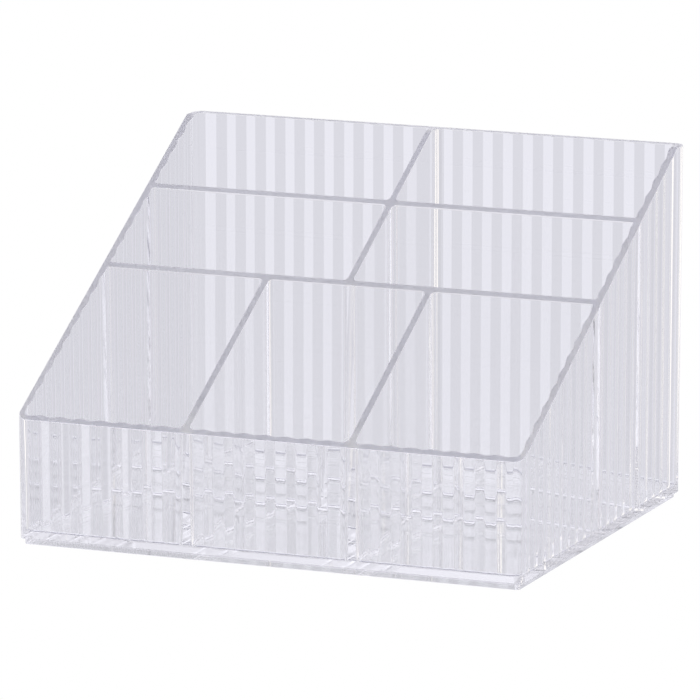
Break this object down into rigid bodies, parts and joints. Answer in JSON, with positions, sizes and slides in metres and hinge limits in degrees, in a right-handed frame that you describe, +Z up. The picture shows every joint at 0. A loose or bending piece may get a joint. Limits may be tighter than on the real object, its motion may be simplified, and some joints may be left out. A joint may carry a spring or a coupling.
{
  "type": "compartment organizer",
  "caption": "Clear open-top desk organizer with a sloped rim, fluted outer walls and compartments in rows, stepping down from a tall back to a low front.",
  "frame": {"origin": "on the table under the centre of the footprint", "axes": "+X to the right seen from the low front, +Y towards the tall back, +Z up"},
  "size_m": [0.24, 0.2002, 0.162],
  "materials": {
    "clear_plastic": "clear, glossy, faintly lavender"
  },
  "bodies": {
    "root": {"base_floor": "clear_plastic", "front_wall": "clear_plastic", "back_wall": "clear_plastic", "left_side_wall": "clear_plastic", "right_side_wall": "clear_plastic", "front_left_corner": "clear_plastic", "front_right_corner": "clear_plastic", "rear_left_corner": "clear_plastic", "rear_right_corner": "clear_plastic", "rear_cross_wall": "clear_plastic", "middle_cross_wall": "clear_plastic", "rear_centre_divider": "clear_plastic", "middle_centre_divider": "clear_plastic", "front_left_divider": "clear_plastic", "front_right_divider": "clear_plastic"}
  },
  "joints": []
}
